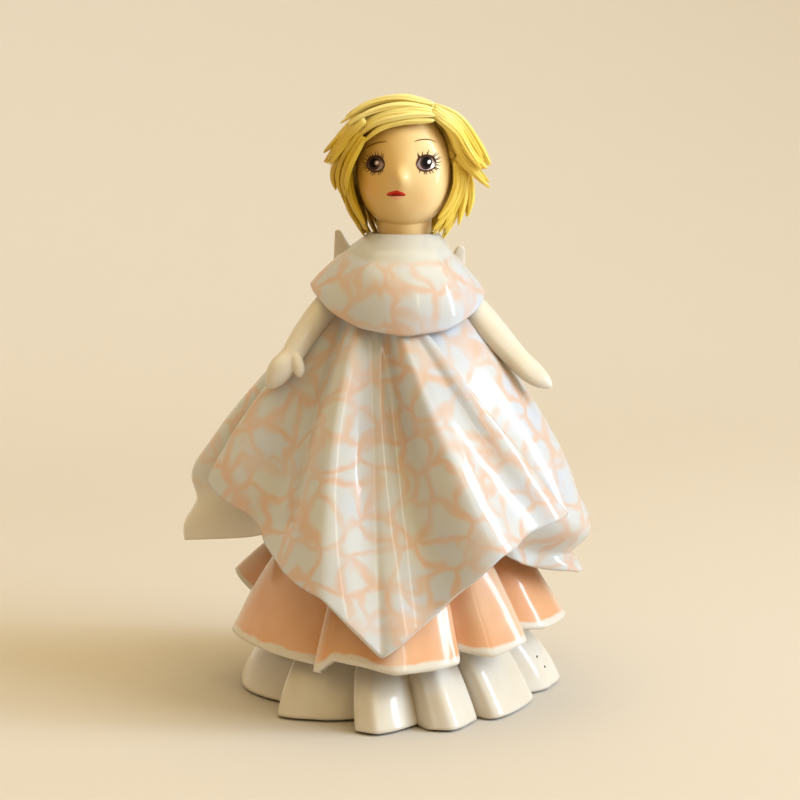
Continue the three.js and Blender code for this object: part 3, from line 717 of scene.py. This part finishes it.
def dab(bm, at, lift, material, thickness=0.05, around=28, rings=14):
    """A dab of paint. at(a, b) gives where on the face a point of the unit disc lands."""
    made = bmesh.ops.create_uvsphere(
        bm, u_segments=around, v_segments=rings, radius=1, matrix=Matrix.Rotation(math.pi / 2, 4, "X")
    )
    faces = {face for v in made["verts"] for face in v.link_faces}
    for face in faces:
        face.material_index = material
    for v in made["verts"]:
        x, z = at(v.co.x, v.co.z)
        v.co = on_face(x, z, lift - v.co.y * thickness)


def oval(x, z, half_width, half_height, lean=0):
    turn = math.radians(lean)

    def at(a, b):
        a, b = a * half_width, b * half_height
        return x + a * math.cos(turn) - b * math.sin(turn), z + a * math.sin(turn) + b * math.cos(turn)

    return at


def stroke(points, half_width, tip=1):
    """A brush stroke along a curve, drawn out to a tip at its end."""
    path = [Vector(point) for point in points]

    def at(a, b):
        share = (a + 1) / 2
        ahead = along(path, min(share + 0.05, 1)) - along(path, max(share - 0.05, 0))
        aside = Vector((-ahead.y, ahead.x)).normalized()
        spot = along(path, share) + aside * b * half_width * mix(1, tip, share)
        return spot.x, spot.y

    return at


def paint_piece(name, materials, paint):
    bm = bmesh.new()
    paint(bm)
    bm.transform(HEAD)
    bmesh.ops.recalc_face_normals(bm, faces=bm.faces)
    make_piece(name, bm, materials)


EYE_PAINTS = (EYE_GREY, IRIS_BROWN, PUPIL_BLACK, GLINT_WHITE, LASH_BROWN, EYE_LILAC, EYE_PALE)
GREY, IRIS, PUPIL, GLINT, LASH, LILAC, PALE = range(len(EYE_PAINTS))
LIP_PAINTS = (LIP_RED, LIP_PINK, LIP_DARK, LIP_CRIMSON)
RED, ROSE, DARK, CRIMSON = range(len(LIP_PAINTS))
LASHES = 24


def paint_eye(x, z, side, spots):
    """An open eye with lids, and with uneven lashes all round. side points outwards. The spots of the eye are
    (paint, across, up, half width, half height, lean), and each lies over the one before it."""

    def paint(bm):
        for lift, (material, across, up, half_width, half_height, lean) in enumerate(spots):
            dab(bm, oval(x + across, z + up, half_width, half_height, lean), 0.03 + 0.025 * lift, material)
        for rise, half_width in ((1.9, 0.3), (-1.78, 0.17)):
            lid = [
                (x - 2.35, z - 0.15), (x - 1.55, z + 0.72 * rise), (x, z + rise),
                (x + 1.55, z + 0.72 * rise), (x + 2.35, z - 0.05),
            ]
            dab(bm, stroke(lid, half_width), 0.16, LASH, around=48, rings=10)
        for k in range(LASHES):
            turn = math.radians(k * 360 / LASHES + 14 * noise.noise(Vector((k * 1.3, x, 3))))
            uneven = noise.noise(Vector((k * 1.7, x, 0)))
            upper = math.sin(turn) > 0
            if math.cos(turn) * side < -0.85:
                continue
            length = (1.45 if upper else 1) * (0.85 + 0.6 * uneven) + 0.25 * max(0, math.cos(turn) * side)
            root = Vector((2.3 * math.cos(turn), 1.8 * math.sin(turn)))
            out = Vector((math.cos(turn) + 0.3 * side + uneven, 1.2 * math.sin(turn))).normalized()
            bend = Vector((side * 0.12, 0.2 if upper else -0.1)) * length
            path = [root, root + out * length * 0.55, root + out * length + bend]
            dab(bm, stroke([(x + p.x, z + p.y) for p in path], 0.15, 0.2), 0.08, LASH, around=14, rings=6)

    return paint


# The right eye's last three spots, lilac, pale and white at the upper right of the iris, are a painted
# highlight
paint_piece("right_eye", EYE_PAINTS, paint_eye(-6, 1.3, -1, (
    (GREY, 0, 0, 2.35, 1.9, -4), (LILAC, 0.6, -0.4, 1.5, 1.25, -20), (IRIS, -0.3, 0.15, 1.5, 1.5, 0),
    (PUPIL, -0.45, 0.3, 1, 1.1, 0), (LILAC, 0.35, 0.3, 0.7, 0.6, 10), (PALE, 0.4, 0.3, 0.42, 0.36, 10),
    (GLINT, 0.38, 0.36, 0.2, 0.18, 20),
)))
# The left eye's last spot is a painted highlight; the pale and white spots at the lower right are the whites
# of the eye
paint_piece("left_eye", EYE_PAINTS, paint_eye(6.2, 1, 1, (
    (LILAC, 0, 0, 2.3, 1.85, 4), (PALE, 0.8, -0.5, 1.25, 1.2, 20), (GLINT, 1.3, -0.6, 0.6, 0.8, 30),
    (IRIS, 0, 0.2, 1.4, 1.6, 0), (PUPIL, 0.05, 0.3, 1, 1.3, 0), (GLINT, 0.62, 0.36, 0.42, 0.5, -30),
)))


def paint_brows(bm):
    right = [(-3, 6.65), (-5.4, 6.45), (-7.4, 5.8), (-9, 4.9)]
    left = [(3.5, 6.4), (5.5, 6.8), (7.3, 6.6), (8.7, 5.9)]
    for brow, tip in ((right, 0.5), (left, 0.4)):
        dab(bm, stroke(brow, 0.2, tip), 0.04, material=0, around=40, rings=8)


def paint_lips(bm):
    upper_lip = [(-3.6, -6.1), (-2.5, -5.8), (-1.1, -5.65), (0.2, -5.95), (1.15, -6.35)]
    parting = [(-3.3, -6.2), (-2.2, -6.2), (-0.9, -6.25), (0.9, -6.4)]
    dab(bm, oval(-1.0, -6.8, 1.5, 0.5), 0.02, ROSE, thickness=0.2)
    dab(bm, stroke(upper_lip, 0.46), 0.05, RED, thickness=0.12, around=40, rings=16)
    dab(bm, oval(-1.0, -5.45, 0.75, 0.36), 0.05, RED, thickness=0.14)
    dab(bm, oval(-1.1, -5.95, 1.1, 0.45), 0.15, CRIMSON, thickness=0.05)
    dab(bm, stroke(parting, 0.16), 0.2, DARK, thickness=0.03, around=40, rings=8)


paint_piece("brows", (BROW_BROWN,), paint_brows)
paint_piece("lips", LIP_PAINTS, paint_lips)


# Hair

HAIR_CAP_THICKNESS = 1.9
HAIR_SHELL = HEAD_RADIUS + Vector((1, 1, 1)) * (HAIR_CAP_THICKNESS + 2 * CLEARANCE)
LOCK_THICKNESS = 2.2
HAIRLINE_SLOPE = 24
HAIRLINE_FORWARD = 3.2
NAPE = -0.62


def hair_cap_piece():
    """A combed shell over the skull, cut away in front of the face and the ears, and at the nape."""
    bm = bmesh.new()
    bmesh.ops.create_uvsphere(bm, u_segments=160, v_segments=96, radius=1)
    for v in bm.verts:
        direction = v.co.normalized()
        combed = abs(math.sin(30 * math.atan2(direction.x, direction.z + 0.2)))
        v.co = skull_point(direction, CLEARANCE + HAIR_CAP_THICKNESS * (0.55 - 0.15 * combed))
    slope = math.radians(HAIRLINE_SLOPE)
    front = Vector((0, -math.cos(slope), math.sin(slope)))
    nape = Vector((0, 0, NAPE * HEAD_RADIUS.z))
    cuts = ((front * HAIRLINE_FORWARD, front), ((0, -3, 4), (0, -0.87, -0.5)), (nape, (0, 0, -1)))
    for spot, away in cuts:
        everything = bm.verts[:] + bm.edges[:] + bm.faces[:]
        bmesh.ops.bisect_plane(bm, geom=everything, plane_co=spot, plane_no=away, clear_outer=True)
    bm.transform(HEAD)
    bmesh.ops.recalc_face_normals(bm, faces=bm.faces)
    piece = make_piece("hair_cap", bm, (HAIR,), ["hair_cap"])
    shell = piece.modifiers.new("clay_thickness", "SOLIDIFY")
    shell.thickness = HAIR_CAP_THICKNESS * MM
    shell.offset = 0


STRANDS = 5
STRAND_TAPER = (0.6, 0.95, 1, 0.94, 0.75, 0.28)
BACK_LOCKS = 7


def lock_piece(name, breadth, weight, rows):
    """A lock of hair: uneven strands of clay, pressed together at the root and parting towards their tips.
    Its breadth and the rows of its path are in hundredths of the radii of the hair's shell."""
    path = [Vector(a * b / 100 for a, b in zip(row, HAIR_SHELL)) for row in rows]
    half_width = breadth * HAIR_SHELL.x / 200
    half_thickness = weight * LOCK_THICKNESS / 2
    seed = sum(map(ord, name))

    def outwards(point):
        return Vector(a / b**2 for a, b in zip(point, HEAD_RADIUS)).normalized()

    def strand(k):
        centre = (k + 0.5) / STRANDS * 2 - 1
        length, girth, lift, wave = (noise.noise(Vector((seed * 0.37, k * 2.3, 4.1 * j))) for j in range(4))
        reach = 1 - 0.14 * centre**2 + 0.4 * min(length, 0)
        girth = 1.4 * half_width / STRANDS * (1 + 0.6 * girth)

        def place(share, turn):
            grooved = 1 + 0.13 * math.cos(5 * turn + 9 * wave + 2 * share)
            body = along(STRAND_TAPER, share) * blunt(share, 0.07) * grooved
            fan = mix(0.6, 0.85, smooth(0, 0.35, share)) + 0.4 * share**3
            sway = 0.14 * math.sin(5 * share + 6 * wave + seed) * smooth(0, 0.5, share)
            aside = half_width * (centre * fan + sway) + girth * body * math.cos(turn)
            up = half_thickness * (lift + 0.72 * body * math.sin(turn))
            return share * reach, aside, up

        return place

    bm = bmesh.new()
    for k in range(STRANDS):
        drawn_out(bm, path, outwards, 32, 30, strand(k))
    bm.transform(HEAD)
    bmesh.ops.recalc_face_normals(bm, faces=bm.faces)
    make_piece(name, bm, (HAIR,), [name])


def back_lock(k):
    """A lock from the crown to the nape, one of those from ear to ear."""
    turn = math.radians(mix(98, 262, k / (BACK_LOCKS - 1)))
    rows = []
    for slope, lift in ((58, 107), (25, 110), (-10, 111), (-42, 113), (-62, 124)):
        up = math.radians(slope)
        level = lift * math.cos(up)
        rows.append((level * math.sin(turn), -level * math.cos(turn), lift * math.sin(up)))
    lock_piece(f"hair_back_{k + 1}", 53, 0.9, rows)


hair_cap_piece()
for k in range(BACK_LOCKS):
    back_lock(k)
lock_piece("hair_right_under_1", 50, 1, ((-96, 11, 6), (-99, 4, -47), (-73, -10, -94)))
lock_piece("hair_right_under_2", 52, 1.1, ((-97, -20, 18), (-93, -22, -35), (-66, -22, -91)))
lock_piece("hair_left_under_1", 36, 1.09, ((105, 15, 6), (114, 9, -41), (108, 4, -76)))
lock_piece("hair_left_under_2", 36, 1.09, ((101, 0, 9), (105, -2, -41), (92, -4, -89)))
lock_piece("hair_left_under_3", 33, 1, ((95, -14, 12), (96, -15, -29), (83, -16, -71), (68, -18, -99)))
lock_piece(
    "hair_left_face_lock", 31, 1,
    ((97, -20, 8), (100, -23, -25), (89, -28, -52), (67, -34, -78), (50, -38, -97)),
)
lock_piece("hair_right_side_1", 43, 1, ((-66, -66, 53), (-96, -54, 18), (-108, -47, -12), (-105, -41, -38)))
lock_piece("hair_right_side_2", 47, 1, ((-79, -35, 61), (-109, -31, 24), (-122, -26, -6), (-118, -23, -29)))
lock_piece("hair_right_flick_1", 46, 1, ((-60, -57, 75), (-103, -46, 43), (-138, -36, 12)))
lock_piece("hair_right_flick_2", 49, 1, ((-54, -23, 82), (-101, -18, 55), (-142, -15, 25)))
lock_piece("hair_left_flick", 39, 1, ((94, -22, 14), (125, -22, -9), (154, -20, -34)))
lock_piece(
    "hair_left_sweep_1", 33, 1.18,
    ((56, -38, 84), (89, -32, 56), (105, -27, 22), (125, -26, 3), (148, -28, -5)),
)
lock_piece("hair_left_sweep_2", 45, 1.27, ((52, -30, 84), (97, -28, 54), (124, -28, 19), (153, -26, -7)))
lock_piece("hair_left_sweep_3", 45, 1.27, ((49, -6, 89), (98, -7, 67), (131, -12, 31), (155, -13, -4)))
lock_piece("hair_left_sweep_4", 46, 1.09, ((43, 29, 88), (91, 26, 66), (121, 20, 29), (135, 16, -12)))
lock_piece("hair_fringe", 39, 1, ((62, -50, 74), (10, -64, 76), (-42, -64, 68), (-94, -54, 38)))
lock_piece("hair_crown_front", 46, 1, ((60, -28, 86), (2, -41, 95), (-56, -38, 88), (-112, -34, 62)))
lock_piece("hair_crown_middle", 46, 1, ((52, -3, 90), (-5, -6, 99), (-60, -4, 89), (-112, -3, 56)))
lock_piece("hair_crown_back", 49, 1, ((36, 34, 91), (-14, 34, 95), (-65, 34, 81), (-109, 29, 45)))

# The core stays as it is in the frame, in white glaze
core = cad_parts["body_core"]
core.data.materials.clear()
core.data.materials.append(WHITE)


# Stage: a cream table that sweeps up into a round wall

ROOM_CENTRE = Vector((0.55, -1.05, 0))
ROOM_FLAT = 1.5
ROOM_SWEEP = 0.5
ROOM_WALL = 1.2


def studio_floor():
    bm = bmesh.new()
    bmesh.ops.create_grid(bm, x_segments=128, y_segments=48, size=0.5)
    for v in bm.verts:
        turn = (v.co.x + 0.5) * 2 * math.pi
        share = v.co.y + 0.5
        reach = share * (ROOM_FLAT + ROOM_SWEEP * math.pi / 2 + ROOM_WALL)
        bend = max(0, min(math.pi / 2, (reach - ROOM_FLAT) / ROOM_SWEEP))
        radius = min(reach, ROOM_FLAT) + ROOM_SWEEP * math.sin(bend)
        height = ROOM_SWEEP * (1 - math.cos(bend)) + max(0, reach - ROOM_FLAT - ROOM_SWEEP * math.pi / 2)
        v.co = AXIS + ROOM_CENTRE + Vector((radius * math.sin(turn), -radius * math.cos(turn), height))
    bmesh.ops.remove_doubles(bm, verts=bm.verts, dist=1e-5)
    bmesh.ops.recalc_face_normals(bm, faces=bm.faces)
    mesh = bpy.data.meshes.new("studio_floor")
    bm.to_mesh(mesh)
    bm.free()
    mesh.shade_smooth()
    material = bpy.data.materials.new("cream_table")
    material.use_nodes = True
    finish = material.node_tree.nodes["Principled BSDF"].inputs
    finish["Base Color"].default_value = colour(0.60, 0.55, 0.495)
    finish["Roughness"].default_value = 0.7
    finish["Specular IOR Level"].default_value = 0.2
    mesh.materials.append(material)
    floor = bpy.data.objects.new("studio_floor", mesh)
    bpy.context.scene.collection.objects.link(floor)


def area_light(name, place, aim, size, power, tint, spread=180, mirrored=True):
    light = bpy.data.lights.new(name, "AREA")
    light.shape = "RECTANGLE"
    light.spread = math.radians(spread)
    light.size, light.size_y = size
    light.energy = power
    light.color = tint
    lamp = bpy.data.objects.new(name, light)
    bpy.context.scene.collection.objects.link(lamp)
    lamp.visible_glossy = mirrored
    lamp.location = AXIS + Vector(place)
    lamp.rotation_euler = (AXIS + Vector(aim) - lamp.location).to_track_quat("-Z", "Y").to_euler()


DAYLIGHT = (0.66, 0.82, 1.0)
LAMPLIGHT = (1.0, 0.84, 0.54)
WAIST = (0, 0, 0.07)

studio_floor()
# The window shows as a narrow streak in the glaze. The curtain only lights the figure and isn't mirrored
area_light("window_light", (1.33, -0.22, 0.52), WAIST, (0.22, 0.90), 2.4, DAYLIGHT, 100)
area_light("curtain_light", (1.22, -0.36, 0.74), WAIST, (1.10, 1.00), 8.0, DAYLIGHT, 100, False)
area_light("ceiling_light", (0.10, -0.05, 1.2), (0, 0, 0), (1.5, 1.5), 7.0, LAMPLIGHT)
area_light("front_light", (0.30, -0.58, 0.44), (0, 0, 0.08), (0.035, 0.30), 0.2, (1.0, 0.95, 0.88))
world = bpy.data.worlds.new("warm_room")
bpy.context.scene.world = world
world.use_nodes = True
glow = world.node_tree.nodes["Background"].inputs
glow["Color"].default_value = colour(1.0, 0.775, 0.36)
glow["Strength"].default_value = 0.95
bpy.context.scene.view_settings.view_transform = "Standard"

CAMERA_PLACE = Vector((-0.000995, -0.490, 0.145))
CAMERA_DOWN = 8.25
SENSOR = 36
PICTURE_WIDTH = 800
FOCAL_LENGTH = 1970  # in pixels of the picture
camera = bpy.data.objects.new("camera", bpy.data.cameras.new("camera"))
bpy.context.scene.collection.objects.link(camera)
camera.location = AXIS + CAMERA_PLACE
camera.rotation_euler = (math.radians(90 - CAMERA_DOWN), 0, 0)
camera.data.sensor_width = SENSOR
camera.data.lens = FOCAL_LENGTH / PICTURE_WIDTH * SENSOR
camera.data.clip_start = 0.01
bpy.context.scene.camera = camera
